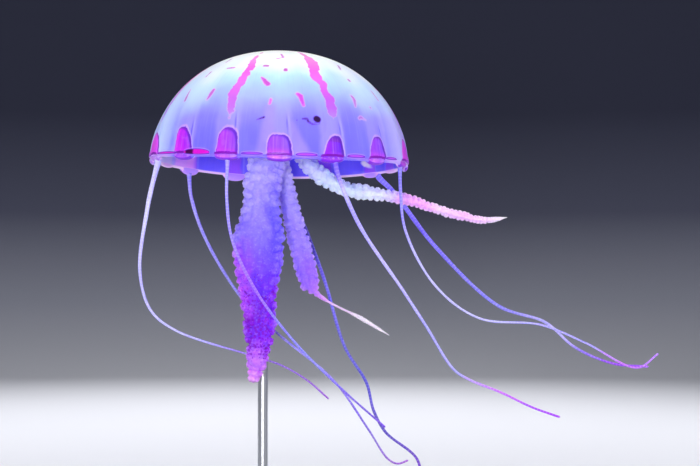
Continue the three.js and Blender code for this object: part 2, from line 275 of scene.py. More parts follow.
class Look:
    """A material being made. made_of holds its numbers and colours by name, each as the output that gives it.
    Its tables are text, one formula or coat to a line, in words: those names, numbers and hex colours."""

    def __init__(self, name, fields=(), **noises):
        """fields are names of the piece's own fields. A noise is its scale per metre and its detail."""
        self.made = bpy.data.materials.new(name)
        self.made.use_nodes = True
        self.made.node_tree.nodes.clear()
        self.made_of = {"place": self.node("TexCoord", output="Object")}
        for field in fields:
            self.made_of[field] = self.node("Attribute", output="Fac", attribute_name=field)
        for noise, (scale, detail) in noises.items():
            self.made_of[noise] = self.node("TexNoise", {"Vector": "place", "Scale": scale, "Detail": detail})

    def node(self, kind, inputs=(), output=0, **settings):
        """Adds one node and gives one output. inputs pairs a socket with a value, an output or a word."""
        made = self.made.node_tree.nodes.new("ShaderNode" + kind)
        for name, value in settings.items():
            setattr(made, name, value)
        for socket, value in dict(inputs).items():
            value = self.read(value) if isinstance(value, str) else value
            if isinstance(value, bpy.types.NodeSocket):
                self.made.node_tree.links.new(value, made.inputs[socket])
            else:
                made.inputs[socket].default_value = value
        return made.outputs[output] if len(made.outputs) else None

    def read(self, word):
        """What a word stands for: a colour, an output or a number."""
        return linear(word) if word.startswith("#") else self.made_of[word] if word in self.made_of else float(word)

    def step(self, value, operation, inputs):
        """A value put through one operation. PLUS adds b x times + more. UNEVEN adds noises, each times a swing
        and centred on 0. EASE and SHARE go from 0 to 1, or between two last inputs, as the value goes from one
        input to the next."""
        if operation == "UNEVEN":
            for noise, swing in zip(inputs[::2], inputs[1::2]):
                value = self.step(value, "PLUS", [noise, swing, -float(swing) / 2])
            return value
        if operation == "PLUS":
            added = self.node("Math", enumerate((inputs + ["0"])[:3]), operation="MULTIPLY_ADD")
            return self.node("Math", {0: value, 1: added}, operation="ADD")
        if operation in SLOPES:
            ends = ["0", "1"][: 4 - len(inputs)]
            return self.node("MapRange", enumerate([value, *inputs, *ends]), interpolation_type=SLOPES[operation])
        return self.node("Math", enumerate([value, *inputs]), operation=operation)

    def work(self, table):
        """Numbers worked out from others: name = number and the operations it goes through, each with inputs."""
        for line in table.strip().splitlines():
            name, formula = line.split("=")
            value, formula = formula.split(maxsplit=1)
            for operation, *inputs in (step.split() for step in formula.split(",")):
                value = self.step(value, operation, inputs)
            self.made_of[name.strip()] = value

    def graded(self, name, field, stops):
        """A colour that runs through stops, written as position and hex, as field goes from 0 to 1."""
        self.made_of[name] = self.node("ValToRGB", {0: field})
        elements = self.made_of[name].node.color_ramp.elements
        stops = [(float(position), linear(code)) for position, code in (stop.split() for stop in stops.split(","))]
        elements[0].position, elements[0].color = stops[0]
        elements[1].position, elements[1].color = stops[-1]
        for position, colour in stops[1:-1]:
            elements.new(position).color = colour

    def painted(self, name, ground, table):
        """A colour made of coats over a ground: field, low, high, most, colour. A coat covers smoothly up to most
        as its field goes from low to high."""
        for coat in table.strip().splitlines():
            field, low, high, most, colour = coat.split()
            cover = self.step(field, "EASE", [low, high, "0", most])
            ground = self.node("Mix", {0: cover, 6: ground, 7: colour}, output=2, data_type="RGBA")
        self.made_of[name] = ground

    def finished(self, relief=None, **values):
        """The material, of its own colour and rough. relief is the field, strength and distance of a bump;
        values are other sockets."""
        inputs = {name.replace("_", " "): value for name, value in values.items()}
        if relief:
            inputs["Normal"] = self.node("Bump", dict(zip(("Height", "Strength", "Distance"), relief)))
        shader = self.node("BsdfPrincipled", {"Base Color": "colour", "Roughness": "rough", **inputs})
        self.node("OutputMaterial", {"Surface": shader})
        return self.made


def tissue_values(gloss, weight, depth):
    """Shader values of wet tissue: nearly water's IOR, and light that spreads under the skin, depth in metres."""
    through = dict(Subsurface_Weight=weight, Subsurface_Scale=depth, Subsurface_Radius=(1.0, 0.8, 1.0))
    return dict(IOR=1.36, Specular_IOR_Level=gloss, **through)


# ---- the bell ----

NO_MARK = -9.0  # depth, in mm, of a point that lies in no mark at all
FLUTE_OUTSIDE, FLUTE_INSIDE = 0.45, 0.35  # mm
GUT_WALL, GUT_WALL_WIDTH = 4.9, 0.8  # mm from a station to a radial wall of the gut, and across it
PATCH_ACROSS, PATCH_UP, PATCH_ROUND, PATCH_REACH = 3.2, 4.2, 3.4, 14  # powers of its outline; degrees
SLIT_REACH, LONGEST_REACH, BRUISED_REACH = 4.8, 8.6, 7.2  # degrees from a slit's middle to its end
MADE_FLECKS = 46  # tries
COLUMNS_PER_STATION = 27
OUTER_ROWS, LOWER_ROWS, UPPER_ROWS, INNER_ROWS = 118, 26, 12, 44  # domes, and their straight ends at the margin
OUTSIDE_ROWS = OUTER_ROWS + LOWER_ROWS + 12  # down to the lappets' edge
BRUISED, LONGEST = -2, -3  # gaps between lappets where the margin is bruised, and where its slit is longest


def dome_radius(radius, height, z):
    """Radius of a dome at a height: R (1 - rise^1.9)^(1/2.2), where rise is the share of its height."""
    rise = np.clip((z - FOLD_Z) / height, 0, 1)
    return radius * (1 - rise**CROWN) ** (1 / ROUNDNESS)


def dome_rows(radius, height, low_z, count):
    """Rows evenly spaced along a dome's curve from its top, without the pole, to low_z. The curve is radius
    R sin(t)^(2/2.2) and height H cos(t)^(2/1.9)."""
    t = np.linspace(0, np.pi / 2, 4001)
    r = radius * np.sin(t) ** (2 / ROUNDNESS)
    z = FOLD_Z + height * np.clip(np.cos(t), 0, 1) ** (2 / CROWN)
    keep = z >= low_z
    r, z = np.append(r[keep], dome_radius(radius, height, low_z)), np.append(z[keep], low_z)
    along = np.append(0, np.cumsum(np.hypot(np.diff(r), np.diff(z))))
    stops = np.linspace(0, along[-1], count + 1)[1:]
    return np.interp(stops, along, r)[:, None], np.interp(stops, along, z)[:, None]


def rim_height(angle):
    """Height of the rim between lappets: a saddle 2.5 mm higher at the sides, leaning 1.5 mm to +X."""
    side = np.sin(np.radians(angle))
    return RIM_Z + RIM_SADDLE * side * side - RIM_LEAN * side


def by_station(angle, values, otherwise):
    """What values gives for the station of each angle, by number, and otherwise for stations it leaves out."""
    number = np.round(np.asarray(angle) / SPACING)
    for station, value in values.items():
        otherwise = np.where(number % STATIONS == station % STATIONS, value, otherwise)
    return otherwise


def station_offset(angle):
    """Degrees from the nearest station. Some stations are shifted off even spacing."""
    shift = by_station(angle, STATION_SHIFTS, 0.0)
    return angle - SPACING * np.round(np.asarray(angle) / SPACING) - shift


def lappet_drop(angle):
    """How far the lower edge hangs below the rim: half an ellipse at each station, longer at the back."""
    share = np.clip(np.abs(station_offset(angle)) / LAPPET_HALF_ANGLE, 0, 1)
    length = LAPPET_DROP - LAPPET_DROP_SWING * np.cos(np.radians(angle))
    drawn_up = by_station(angle, LAPPETS_DRAWN_UP, 1.0)
    return drawn_up * length * np.sqrt(1 - share * share)


def on_dome(angle, z):
    """A point of the outer dome, in mm."""
    r, a = dome_radius(OUTER_RADIUS, OUTER_HEIGHT, z), np.radians(angle)
    return np.array([r * np.sin(a), -r * np.cos(a), z])


# Pigment patches above the lappets, by station: angle of the middle, half width and height in mm, lean and
# narrowing of the top, how dark, how pink.
PATCHES = {
    -4: (-93.5, 4.6, 11.5, 0.3, 0.25, 0.5, 0.6),
    -3: (-74.4, 12.4, 11.2, -0.6, 0.3, 0.1, 1.6),
    -2: (-44.2, 5.9, 12.8, -2.4, 0.25, 0.75, 0.95),
    -1: (-22.0, 5.2, 12.4, 0.2, 0.12, 0.5, 0.6),
    0: (0.2, 5.5, 9.8, -0.2, 0.08, 0.35, 0.3),
    1: (23.0, 4.9, 9.8, 1.3, 0.3, 1.0, 0.1),
    2: (46.4, 5.9, 10.6, 0.6, 0.32, 0.45, 0.2),
    3: (76.5, 10.0, 11.4, 1.2, 0.34, 0.15, 1.3),
    4: (94.0, 4.6, 11.2, -0.3, 0.25, 0.5, 0.6),
}
# Radial stripes on every other meridian: (height, offset in degrees, half width in mm) down the stripe.
STRIPES = {
    -3: [(231, -3, 0.6), (224, -4.5, 2.0), (214, -5, 2.3), (208, -4.5, 2.0), (200, -4, 1.2)],
    -1: [
        (233.5, 1.5, 0.4), (231, 1.6, 0.9), (224.2, 3.2, 2.3), (219, 2.5, 1.7), (216.3, 2.1, 2.5),
        (212, -0.5, 2.2), (206, -0.2, 2.1), (200.5, 0.5, 1.7), (197.5, 0.4, 0.2),
    ],
    1: [
        (234, 4, 0.3), (232, 3.2, 1.3), (227.6, 2.8, 3.3), (221.5, -0.9, 2.5), (217, -1, 2.9), (214.5, 0.9, 2.1),
        (211, 0.9, 1.6), (207.3, 2.3, 2.4), (203, 2, 2.4), (200.5, 1.7, 2.3), (199, 1.7, 1.9),
    ],
    3: [(231, 10, 0.7), (224, 12, 1.8), (214, 13, 2.6), (206, 14, 2.4), (198, 12, 1.4)],
}
# Heights of the knots of the stripes that are made up, out of sight.
MADE_STRIPE_HEIGHTS = (232.5, 228, 223.5, 218, 213, 208.5, 204, 199)
# A mark is a string of (angle, height, radius in mm). These are the flecks.
FLECKS = [
    [(-47, 228.5, 0.45), (-48, 230.5, 0.4)],
    [(-36.5, 224.2, 0.45), (-31, 224.2, 0.55)],
    [(-50.2, 220.5, 0.5), (-50, 223, 0.45)],
    [(-53.7, 208.5, 0.85), (-55.3, 214, 0.4)],
    [(-37, 207.5, 0.55), (-35.6, 212.2, 1.0)],
    [(-10, 218, 0.5), (-6, 214.2, 1.35)],
    [(-10, 224.5, 0.75), (-7.8, 224.4, 0.75)],
    [(4, 222.4, 1.0), (4, 222, 1.0)],
    [(-2, 228.8, 0.4), (3, 229.6, 0.5), (1.8, 232.2, 0.35)],
    [(-3.8, 206.4, 0.55), (-4.4, 204, 0.35)],
    [(8.8, 209.4, 0.7), (10.2, 208, 1.0), (11.1, 203.4, 0.5)],
    [(38.4, 209.6, 0.7), (39.3, 207.7, 0.95), (38.1, 204.4, 0.4)],
    [(49.8, 227, 0.6), (45.8, 224.5, 0.45)],
    [(43.9, 218.6, 0.7), (44, 218.2, 0.7)],
    [(59.8, 214.6, 0.4), (60.6, 209.7, 0.5)],
    [(48.4, 204.7, 0.65), (48.8, 204.3, 0.6)],
    [(38.3, 198.4, 0.5), (39.6, 199.2, 0.6), (41.6, 197.8, 0.4)],
]
# The darkest marks: an old scar and specks of its edge.
SCARS = [
    [(16.4, 196.9, 1.8), (16.8, 196.6, 1.8)],
    [(16.8, 196.2, 1.3), (17.8, 194.6, 0.35)],
    [(10.1, 196.8, 0.45), (12.1, 197, 0.65), (12.6, 195.6, 0.7), (14.3, 194.3, 0.5), (17.4, 194.2, 0.3)],
    [(7.7, 196, 0.45), (7.8, 196, 0.45)],
    [(-9.8, 196.3, 0.35), (-6.7, 197.4, 0.7)],
]
# A pale curled edge on the inner wall, at the back on the right, painted white as a highlight.
CURL_HIGHLIGHTS = [[(135, 185.2, 3.2), (131, 183.6, 3.5), (126, 181.4, 3.2)]]
# Milky places, where the stalk and the right arm lie close behind the wall.
VEILS = [
    [(-4.0, 202, 2.0), (-5.0, 190, 3.2), (-5.5, 181, 4.2)],
    [(5.5, 194, 1.2), (7.0, 187, 2.6), (8.8, 181, 3.8)],
]


def marks(points, strings):
    """How deep each point lies inside the nearest mark, in mm. A mark is a string of tapered capsules: radius
    along the segment, less the distance to it."""
    depth = np.full(points.shape[:-1], NO_MARK)
    for string in strings:
        for (a0, z0, r0), (a1, z1, r1) in zip(string[:-1], string[1:]):
            start, end = on_dome(a0, z0), on_dome(a1, z1)
            way = end - start
            near = np.abs(points - (start + end) / 2).max(-1) < np.linalg.norm(way) / 2 - NO_MARK
            p = points[near]
            t = np.clip((p - start) @ way / max(way @ way, 1e-9), 0, 1)
            away = np.linalg.norm(p - start - t[:, None] * way, axis=1)
            depth[near] = np.maximum(depth[near], r0 + (r1 - r0) * t - away)
    return depth


def degrees_from(angles, middle):
    """Degrees from middle, between -180 and 180."""
    return (angles - middle + 180) % 360 - 180


def rounded(rows):
    """A section with each corner halved once: the points a quarter and three quarters along each side."""
    pairs = [rows[:-1] * (1 - share) + rows[1:] * share for share in (0.25, 0.75)]
    return np.stack(pairs, 1).reshape(-1, rows.shape[1])


def bell_grid(side):
    """Radius and height of the bell's rows: outer dome, margin that folds in and drops in lappets, inner dome.
    Each row is a function of the angle round the bell."""
    rim, drop = rim_height(side), lappet_drop(side)
    fold = rim + FOLD_DEPTH
    # Outer dome down to the margin, then straight on to the fold, which stands out a little.
    r, z = dome_rows(OUTER_RADIUS, OUTER_HEIGHT, MARGIN_TOP_Z, OUTER_ROWS)
    share = np.linspace(0, 1, LOWER_ROWS + 1)[1:, None]
    lower = MARGIN_TOP_Z + (fold - MARGIN_TOP_Z) * share
    stands_out = LIP_FLARE * eased(share, 0.55, 1)
    parts = [(r, z), (dome_radius(OUTER_RADIUS, OUTER_HEIGHT, lower) + stands_out, lower)]

    # The crease under the fold, the lappet's belly, its edge, and back up inside.
    belly = np.clip(drop / LAPPET_DROP, 0, 1)
    section = [  # radius, height
        (65.35, fold - 0.25),
        (65.0 - 0.15 * belly, fold - 0.5),
        (64.95 + 0.25 * belly, fold - 0.75 - 0.1 * drop),
        (65.0 + 0.35 * belly, rim + 0.25 - 0.35 * drop),
        (64.8 + 0.25 * belly, rim - 0.05 - 0.65 * drop),
        (64.3, rim - 0.25 - 0.9 * drop),
        (63.7 - 0.1 * belly, rim - 0.35 - drop),
        (63.0 - 0.2 * belly, rim - 0.2 - 0.92 * drop),
        (62.5 - 0.1 * belly, rim + 0.2 - 0.7 * drop),
        (62.3, rim + 0.7 - 0.35 * drop),
        (62.1, fold),
    ]
    parts.append([rounded(np.vstack([value + 0 * side for value in way])) for way in zip(*section)])

    # Inner dome, from the fold to its top.
    share = np.linspace(0, 1, UPPER_ROWS + 1)[1:, None]
    upper = fold + (MARGIN_TOP_Z - fold) * share
    r, z = dome_rows(INNER_RADIUS, INNER_HEIGHT, MARGIN_TOP_Z, INNER_ROWS)
    parts += [(dome_radius(INNER_RADIUS, INNER_HEIGHT, upper), upper), (r[-2::-1], z[-2::-1])]
    return (np.vstack([values + 0 * side for values in way]) for way in zip(*parts))


def bell_shape():
    """One closed skin with its flutes, gut walls and unevenness, and the fields that its markings are drawn by."""
    rng = np.random.default_rng(7)
    columns = STATIONS * COLUMNS_PER_STATION
    side = (np.arange(columns) / columns * 360 - 180)[None]
    radius, height = bell_grid(side)
    zero = np.zeros_like(radius)
    rim, drop = rim_height(side), lappet_drop(side)
    inside, angles = zero + (np.arange(len(radius)) >= OUTSIDE_ROWS)[:, None], zero + side
    across = zero + station_offset(side) * np.pi / 180 * OUTER_RADIUS  # mm from the nearest station
    rise = (height - FOLD_Z) / np.where(inside > 0, INNER_HEIGHT, OUTER_HEIGHT)
    above = height - (rim + FOLD_DEPTH)

    # Flutes: the wall stands out at each station and is sunk between, most of all low down.
    ripple = np.cos(np.radians(angles * STATIONS))
    wander = waves(rng, 1, (360, 120, 72))(angles)
    flute = eased(rise, 0.62, 0.2) * eased(above, -1, 3)
    radius = radius + np.where(inside > 0, FLUTE_INSIDE, FLUTE_OUTSIDE) * ripple * flute * (1 + 0.3 * wander)
    # A radial wall of the gut on each side of a station: a shallow groove beside a low ridge.
    gut = GUT_WALL - 1.2 * eased(rise, 0.1, 0.45) + 0.5 * wander
    groove = across - gut
    depth = eased(rise, 0.4, 0.24) * eased(above, 1, 5)
    for way, sunk in ((groove, 0.3), (across + gut, 0.12)):
        radius = radius - np.where(inside > 0, -0.5, sunk) * np.exp(-((way / GUT_WALL_WIDTH) ** 2)) * depth
    # Slight unevenness of the whole bell.
    radius = radius * (1 + 0.004 * waves(rng, 1, (360, 180, 90))(angles) * eased(rise, 1, 0.6))

    turn = np.radians(angles)
    points = np.stack([radius * np.sin(turn), -radius * np.cos(turn), height], -1)

    # Patches: depth inside an arch with round shoulders, half width x (1 - (|x|^3.2 + up^4.2)^(1/3.4)). Those
    # out of sight are made up.
    patch, dark, pink, patch_u = (zero + value for value in (NO_MARK, 0.5, 0.4, 0.0))
    for k in range(-7, 9):
        a, b, c, d, e, f = rng.uniform(-1, 1, 6)
        made = k * SPACING + 0.8 * a, 5.2 + 0.4 * b, 11.3 + 1.6 * c, 0.8 * d, 0.25, 0.5 + 0.35 * e, 0.45 + 0.4 * f
        middle, half, tall, lean, narrowed, darkness, pinkness = PATCHES.get(k, made)
        away = degrees_from(angles, middle)
        up = np.clip(above / tall, 0, 3)
        x = (away * np.pi / 180 * OUTER_RADIUS - lean * up) / (half * (1.05 - narrowed * up))
        field = half * (1 - (np.abs(x) ** PATCH_ACROSS + up**PATCH_UP) ** (1 / PATCH_ROUND))
        mine = (field > patch) & (np.abs(away) < PATCH_REACH)
        patch, dark, pink = (np.where(mine, *pair) for pair in ((field, patch), (darkness, dark), (pinkness, pink)))
        patch_u = np.where(mine, np.clip(x, -1.5, 1.5), patch_u)
    patch = np.where(above < -0.4, np.minimum(patch, -0.4 - above - 3), patch)

    # Stripes: half width less the distance from the stripe's middle, in mm. Heights index both.
    stripe = zero + NO_MARK
    for k in range(-7, 9, 2):
        sideways, wider = rng.uniform(-1, 1, (2, 8))
        wider = 2.1 + 0.9 * wider
        wider[[0, -1]] = 0.4
        made = zip(MADE_STRIPE_HEIGHTS, 2.2 * sideways, wider)
        z, offset, half = np.array(STRIPES.get(k) or list(made), float)[::-1].T
        away = degrees_from(angles, k * SPACING + np.interp(height, z, offset))
        beyond = np.maximum(np.maximum(z[0] - height, height - z[-1]), 0)
        stripe = np.maximum(stripe, np.interp(height, z, half) - np.abs(np.radians(away)) * radius - beyond)

    # Flecks: those listed above, and others scattered between the stripes further round.
    flecks = list(FLECKS)
    for _ in range(MADE_FLECKS):
        a, z = rng.uniform(70, 290), 200 + 31 * rng.uniform() ** 0.8
        if 6 < (a - SPACING) % (2 * SPACING) < 39:
            lean, tall, size = rng.uniform(-2.5, 2.5), rng.uniform(0.4, 5), rng.uniform(0.4, 1.05)
            flecks.append([(a, z, size), (a + lean, max(z - tall, 196), size * rng.uniform(0.4, 0.9))])

    # Slits between lappets: depth in mm inside a thin lens in the fold, longer and deeper where it is bruised.
    gap = np.floor(angles / SPACING)
    bruised, longest = (gap % STATIONS == number % STATIONS for number in (BRUISED, LONGEST))
    gap_off = angles - SPACING * (gap + 0.5) + np.where(bruised, 3.1, 0)
    opening = rng.uniform(0.45, 0.8, STATIONS)
    opening[[LONGEST, BRUISED, 1]] = 0.55, 1.35, 0.7
    reach = np.where(bruised, BRUISED_REACH, np.where(longest, LONGEST_REACH, SLIT_REACH))
    lens = opening[gap.astype(int) % STATIONS] * np.sqrt(np.clip(1 - (gap_off / reach) ** 2, 0, 1))
    slit = np.where(np.abs(gap_off) > reach, -3, lens - np.abs(above - 0.1 - lens * 0.5) + 0.12)
    # Flanks: -1 low on the left side of the bell, 1 low on the right. These fields, and the band worked out after
    # them, place the painted light that makes the sides of the bell paler.
    flank = np.sin(turn)
    shoulder = eased(np.abs(flank), 0.35, 0.85) * eased(rise, 0.3, 0.5) * eased(rise, 0.97, 0.8)
    flank = np.sign(flank) * eased(np.abs(flank), 0.7, 0.9) * eased(rise, 0.75, 0.4)

    fields = dict(
        rise=rise, above=above, inside=inside, round=angles, flank=flank, shoulder=shoulder,
        beside=np.abs(across),
        patch=patch, patch_u=patch_u, dark=dark, pink=pink,
        stripe=np.where(inside > 0, NO_MARK, stripe),
        fleck=np.where(inside > 0, NO_MARK, marks(points, flecks)),
        scar=np.where(inside > 0, NO_MARK, marks(points, SCARS)),
        veil=np.where(inside > 0, NO_MARK, marks(points, VEILS)),
        curl=np.where(inside > 0, marks(points, CURL_HIGHLIGHTS), NO_MARK),
        slit=np.where(inside > 0, -3, slit),
        stain=np.where(bruised | longest, 1.0, 0.3 + 0.2 * wander),
        bruise=np.where(bruised, np.exp(-(((gap_off + 3.6) / 2.5) ** 2)), 0),
        front=eased(np.cos(turn), -0.2, 0.2),
        septum=np.minimum(np.abs(groove), 3),
        # Distance to a line 1.1 mm beside each groove, where a highlight is painted.
        bright_edge=np.minimum(np.abs(groove - 1.1), 3),
        belly=np.clip(drop / LAPPET_DROP, 0, 1),
        drop=(rim - drop) - height,
    )
    top, ceiling = [0, 0, FOLD_Z + OUTER_HEIGHT], [0, 0, FOLD_Z + INNER_HEIGHT]
    return outward(grid_shape(points, fields, (top, ceiling)))


def bell_jelly(fields):
    """Clear jelly over a milky, pigmented skin: nearly white and a little cyan where the dome is thick, violet
    blue where the wall is thin. Wet, with a soft gloss."""
    # cloud is the jelly's own, 14 mm across. patchy and fine, 4 and 1.5 mm, make the edges of marks uneven.
    look = Look("wet_jelly_pigmented", fields, cloud=(70, 2), patchy=(240, 2), fine=(650, 2))
    # Fibres down the wall: noise squeezed to 1.2 mm round the bell and drawn out to 30 mm down it.
    look.work("down = rise MULTIPLY 2")
    drawn = look.node("CombineXYZ", {0: "round", 1: "down"})
    look.made_of["fibres"] = look.node("TexNoise", {"Vector": drawn, "Scale": 1.0, "Detail": 2})

    # Blue violet panels between the stations, low down, with soft tops, the walls of the gut beside them, and a
    # painted highlight line beside each groove.
    look.work("""
        level = rise UNEVEN cloud 0.16, PLUS beside -0.004 0.02
        flanked = flank ABSOLUTE
        low = level UNEVEN cloud 0.25, EASE 0.62 0.34
        front_low = flanked MULTIPLY_ADD -0.75 1, MULTIPLY low
        lowest = rise EASE 0.42 0.22, MULTIPLY front_low
        panel = beside UNEVEN fibres 2 cloud 5, PLUS flanked -4, EASE 4.2 8.2, MULTIPLY front_low
        ridge = septum UNEVEN fibres 0.5, EASE 0.7 0.15, MULTIPLY lowest
        edge_line = bright_edge EASE 0.9 0.2, MULTIPLY lowest
    """)
    look.graded(
        "outer",
        "level",
        "0 #8C80FA, 0.2 #9083FC, 0.32 #9289FC, 0.39 #9694FC, 0.46 #9AA0FC, 0.55 #A2B8FC, 0.66 #B0D4FE,"
        "0.78 #DCF4FF, 0.92 #F8FFFF",
    )
    # A pale blue painted on the sides of the bell as light.
    look.graded("sloped", "level", "0.42 #B4C8FF, 0.6 #C4DCFF, 0.75 #E0E4FF")
    look.graded("sunk", "level", "0 #7066FA, 0.2 #766EFC, 0.3 #8078FC, 0.38 #8C8AFC, 0.46 #949EFC, 0.6 #A6C0FE")
    # The first three coats paint the sides of the bell paler: painted light.
    look.painted("outer", "outer", """
        flank -0.05 -0.8 0.85 #B8CCFC
        flank 0.1 0.9 0.75 #B8B2FC
        shoulder 0 1 0.75 sloped
        panel 0 1 0.95 sunk
        fibres 0.5 0.8 0.12 #B0A8FA
        fibres 0.5 0.2 0.1 #7C70FF
        edge_line 0 1 0.25 #B4ACFC
        ridge 0 1 0.65 #5448E0
        veil -2 1.5 0.75 #9A86FA
    """)

    # Hot pink stripes that fade to violet low down, with ragged edges. Flecks about 50 degrees from the front
    # are greyer.
    look.work("""
        ragged = stripe UNEVEN fine 1.2 patchy 3.4
        mark = fleck PLUS fine 0.7 -0.15, UNEVEN patchy 1
        turned_away = round ABSOLUTE, SUBTRACT 50, ABSOLUTE
    """)
    look.graded(
        "stripe_colour",
        "rise",
        "0.3 #A87CFF, 0.4 #B45EF6, 0.48 #BC58F2, 0.54 #CE5AEE, 0.6 #D264E8, 0.66 #E064DE, 0.74 #EE54D4,"
        "0.82 #F25ED0, 0.95 #E480CC",
    )
    look.graded("fleck_colour", "rise", "0.3 #8A3CD0, 0.5 #C83CC8, 0.75 #A83C9C, 0.9 #9A5CA0")
    look.painted("fleck_edge", "#DC64E2", "turned_away 20 8 0.8 #B49AD6")
    look.painted("fleck_colour", "fleck_colour", "turned_away 20 8 0.65 #9A74B8")
    look.painted("outer", "outer", """
        ragged -0.9 0.4 0.35 #F4B0FA
        ragged -0.15 0.25 0.97 stripe_colour
        mark -0.7 0.1 0.35 #E8B4F8
        mark -0.1 0.25 0.8 fleck_edge
        mark 0.05 0.7 0.8 fleck_colour
        scar -0.2 0.15 0.8 #6A30C0
        scar 0.2 0.5 0.98 #2C0340
    """)

    # Tongue-shaped patches: magenta on the left, lavender on the right, with fine rays, a dark rim and a pale
    # halo. The dark ones are darkest at the top.
    look.work("""
        spread = patch_u UNEVEN fibres 0.8, SHARE -1 1
        tip = above UNEVEN patchy 2.5, SHARE 4 7.5, MULTIPLY dark, PLUS pink -0.8
        foot = above UNEVEN fine 1.6, PLUS dark 2.5 -0.6
        right_edge = patch PLUS patch_u -0.6
        limit = patch UNEVEN fine 0.4 patchy 1.3
    """)
    look.graded("pale_tone", "spread", "0 #9A46DA, 0.3 #9446E0, 0.6 #9052EA, 0.85 #8E5CF2, 1 #7838DC")
    look.graded("dark_tone", "spread", "0 #9408DC, 0.35 #7C00D8, 0.7 #6C04E8, 1 #5000BC")
    look.graded("pink_tone", "spread", "0 #F028E4, 0.5 #C81CE6, 0.85 #A81CE2, 1 #8818D8")
    look.painted("tongue", "pale_tone", """
        dark 0.2 1 1 dark_tone
        pink 0.3 1.1 0.85 pink_tone
        pink 1 1.6 0.85 #F050F2
        tip 0.4 0.8 0.9 #6C00AC
        foot 4.5 0.5 0.5 #D238F0
        fibres 0.5 0.75 0.5 #BC78FC
        fibres 0.48 0.3 0.45 #7A10DC
        patchy 0.55 0.75 0.2 #C07CFC
        right_edge 1.2 0.2 0.8 #4E00A8
    """)
    look.painted("outer", "outer", """
        limit -0.9 -0.2 0.55 #D4A0FF
        limit -0.12 0.14 0.97 tongue
    """)

    # Below the fold each lappet is a lens, pink inside with a violet lower edge. Between them the lip is blue, or
    # lilac on the flanks: painted light that makes the sides paler. The fold is drawn as an arch 0.9 mm high over
    # each lappet, so that patch and lappet meet in the shape of an eye.
    look.work("""
        low_edge = front MULTIPLY_ADD -0.6 -0.5
        low_edge = drop SUBTRACT low_edge
        arched = above PLUS belly -0.9
        line = arched PLUS fine 0.6 -0.1, ABSOLUTE, EASE 0.7 0.4, MULTIPLY belly
    """)
    look.graded("lens", "spread", "0 #B44CEE, 0.35 #CC70F6, 0.6 #B05CF4, 0.8 #C08CFC, 1 #7C3CE8")
    # The pale streaks from the fine noise in each lens are painted highlights.
    look.painted("lens", "lens", """
        dark 0.4 1 0.6 #8428E8
        pink 0.25 0.1 0.6 #8A28F4
        fine 0.5 0.7 0.35 #DCA8FF
        flank 0.5 1 0.7 #9C24C8
        low_edge 0 0.5 0.85 #7418D0
    """)
    look.painted("margin", "#7C6CFC", """
        cloud 0.45 0.6 0.5 #A084FF
        flanked 0.2 0.9 0.85 #C4A8FF
        belly 0.15 0.45 0.97 lens
        flank -0.3 -1 0.5 #C49CFA
    """)
    # Slits between lappets: a pale lilac edge, a dark violet outline and a pink inside, wine red where bruised.
    look.painted("slit_inside", "#B04CE8", """
        stain 0.45 0.9 1 #D010C4
        bruise 0.3 0.7 1 #3C0034
    """)
    look.painted("skin", "outer", """
        arched 0.1 -0.3 1 margin
        line 0.06 0.4 0.94 #7400A4
        slit -0.8 -0.05 0.45 #CC96FF
        slit -0.1 0.1 0.92 #5C0CB4
        slit 0.2 0.5 0.92 slit_inside
    """)

    # The inner wall: blue panels, violet at the stations, lavender seams, and a pale rim with lavender pads
    # behind the lappets. On the left it is pink at 126 degrees and pale at 101. A white highlight is painted on the
    # curled edge at the back on the right.
    look.work("""
        depth = rise UNEVEN cloud 0.1
        station = beside UNEVEN fibres 2 cloud 6
        seam = beside SUBTRACT 5.2, ABSOLUTE
        pad = above EASE -0.3 -1, MULTIPLY belly
        violet_side = round ADD 126, ABSOLUTE
        pale_side = round ADD 101, ABSOLUTE
        rough = cloud SHARE 0.3 0.7 0.3 0.42
    """)
    look.graded("lining", "depth", "0 #7868FF, 0.15 #725FFF, 0.5 #8A7CFF, 1 #A8A0FF")
    look.painted("lining", "lining", """
        station 5.6 3.4 0.85 #A85CFA
        seam 0.8 0.2 0.5 #9A8CFF
        fibres 0.5 0.8 0.25 #9A7CFF
        violet_side 10 6 0.8 #F4A8FF
        pale_side 20 12 0.85 #ECE4FF
        above -0.3 -0.9 0.9 #FAD4FF
        pad 0.05 0.25 0.7 #F4BCFC
        pad 0.3 0.7 0.9 #BC94FF
        curl 0.1 0.7 0.95 #FFFAFF
    """)
    look.painted("colour", "skin", "inside 0.3 0.9 1 lining")
    # The bump is the grain of the stinging warts, 0.7 mm apart.
    wet = dict(Coat_Weight=0.04, Coat_Roughness=0.2, **tissue_values(0.3, 0.8, 0.0025))
    return look.finished(("fine", 0.12, 0.0004), **wet)


bell = bell_shape()
bell_nodes = ["bell_crown", "bell_wall"] + [f"bell_margin_{n}" for n in range(1, 9)]
piece("bell_skin", bell, bell_jelly(bell["fields"]), bell_nodes)

# ---- limbs: curves and sections ----


